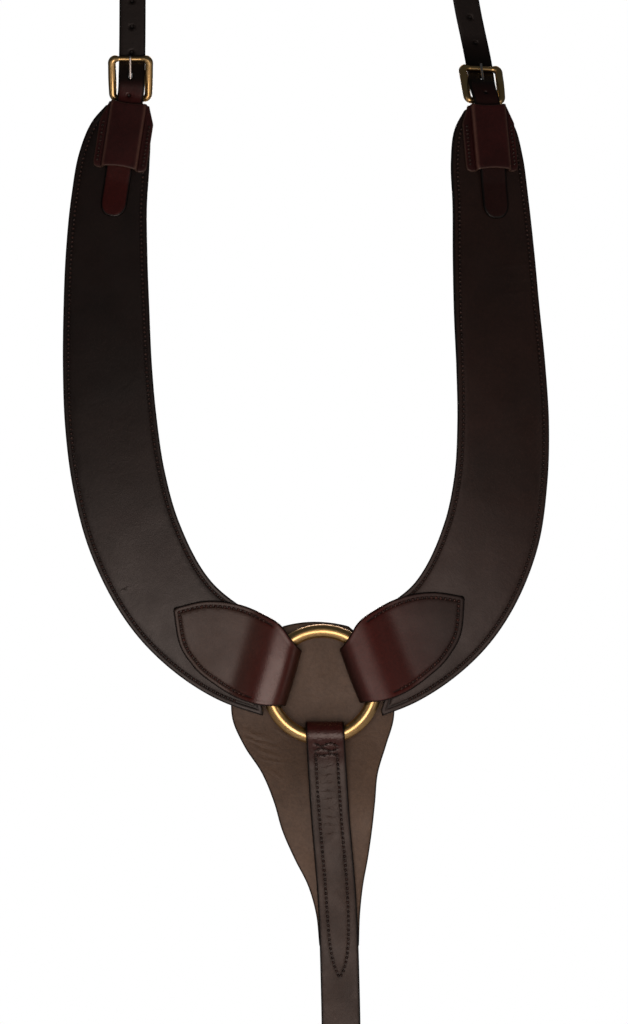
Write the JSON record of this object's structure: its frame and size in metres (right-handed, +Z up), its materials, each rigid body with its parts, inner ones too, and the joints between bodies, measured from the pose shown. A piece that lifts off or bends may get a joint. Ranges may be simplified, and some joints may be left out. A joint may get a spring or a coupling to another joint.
{
  "type": "horse breastplate",
  "caption": "Stitched leather breastplate for a horse: a brass centre ring joins curved shoulders with buckled saddle straps and a safe with a looped girth strap.",
  "frame": {"origin": "centre of the centre ring", "axes": "+Z up along the hanging breastplate, +X to the right seen from the front, -Y to the front, hair-off side"},
  "size_m": [0.3501, 0.1679, 1.2944],
  "materials": {
    "shoulder_leather": "satin",
    "lining_leather": "matt",
    "chape_leather": "gloss",
    "safe_leather": "satin",
    "strap_leather": "satin",
    "brass": "polished",
    "thread": "waxed"
  },
  "bodies": {
    "ring": {"centre_ring": "brass"},
    "girth": {"safe": "safe_leather", "girth_strap": "strap_leather", "girth_strap_stitching": "thread", "girth_buckle_chape": "strap_leather", "girth_buckle_frame": "brass", "girth_fixed_keeper": "strap_leather", "girth_buckle_stitching": "thread"},
    "girth_tongue": {"girth_buckle_tongue": "brass"},
    "girth_keeper": {"girth_sliding_keeper": "strap_leather"},
    "left_shoulder": {"left_shoulder_front": "shoulder_leather", "left_shoulder_lining": "lining_leather", "left_shoulder_stitching": "thread", "left_ring_chape": "chape_leather", "left_chape_stitching": "thread", "left_buckle_chape": "strap_leather", "left_strap_point": "strap_leather", "left_box_loop": "strap_leather", "left_box_loop_stitching": "thread"},
    "left_buckle": {"left_buckle_frame": "brass", "left_saddle_strap": "strap_leather"},
    "left_tongue": {"left_buckle_tongue": "brass"},
    "right_shoulder": {"right_shoulder_front": "shoulder_leather", "right_shoulder_lining": "lining_leather", "right_shoulder_stitching": "thread", "right_ring_chape": "chape_leather", "right_chape_stitching": "thread", "right_buckle_chape": "strap_leather", "right_strap_point": "strap_leather", "right_box_loop": "strap_leather", "right_box_loop_stitching": "thread"},
    "right_buckle": {"right_buckle_frame": "brass", "right_saddle_strap": "strap_leather"},
    "right_tongue": {"right_buckle_tongue": "brass"}
  },
  "joints": [
    {"name": "left_shoulder_swing", "type": "hinge", "parent": "ring", "child": "left_shoulder", "pos_m": [-0.03273, 0, 0.00957], "axis": [0.2807, 0, 0.9598], "range_deg": [-5, 36]},
    {"name": "left_buckle_pivot", "type": "hinge", "parent": "left_shoulder", "child": "left_buckle", "pos_m": [-0.1382, 0.0692, 0.4225], "axis": [0.9984, -0.0563, -0.0027], "range_deg": [-35, 22]},
    {"name": "left_tongue_lift", "type": "hinge", "parent": "left_buckle", "child": "left_tongue", "pos_m": [-0.1382, 0.0692, 0.4225], "axis": [0.9984, -0.0563, -0.0027], "range_deg": [0, 3]},
    {"name": "right_shoulder_swing", "type": "hinge", "parent": "ring", "child": "right_shoulder", "pos_m": [0.03188, 0, 0.01211], "axis": [0.3551, 0, -0.9348], "range_deg": [-5, 36]},
    {"name": "right_buckle_pivot", "type": "hinge", "parent": "right_shoulder", "child": "right_buckle", "pos_m": [0.1176, 0.08024, 0.421], "axis": [0.9646, 0.2596, -0.0456], "range_deg": [-15, 42]},
    {"name": "right_tongue_lift", "type": "hinge", "parent": "right_buckle", "child": "right_tongue", "pos_m": [0.1176, 0.08024, 0.421], "axis": [0.9646, 0.2596, -0.0456], "range_deg": [0, 3]},
    {"name": "girth_strap_swing", "type": "hinge", "parent": "ring", "child": "girth", "pos_m": [0.0015, 0, -0.0366], "axis": [-1, 0, 0], "range_deg": [0, 80]},
    {"name": "girth_tongue_lift", "type": "hinge", "parent": "girth", "child": "girth_tongue", "pos_m": [0.0142, -0.0073, -0.432], "axis": [-1, 0, 0], "range_deg": [0, 3]},
    {"name": "girth_keeper_slide", "type": "slide", "parent": "girth", "child": "girth_keeper", "axis": [0, 0, 1], "range_m": [-0.007, 0.028]}
  ]
}
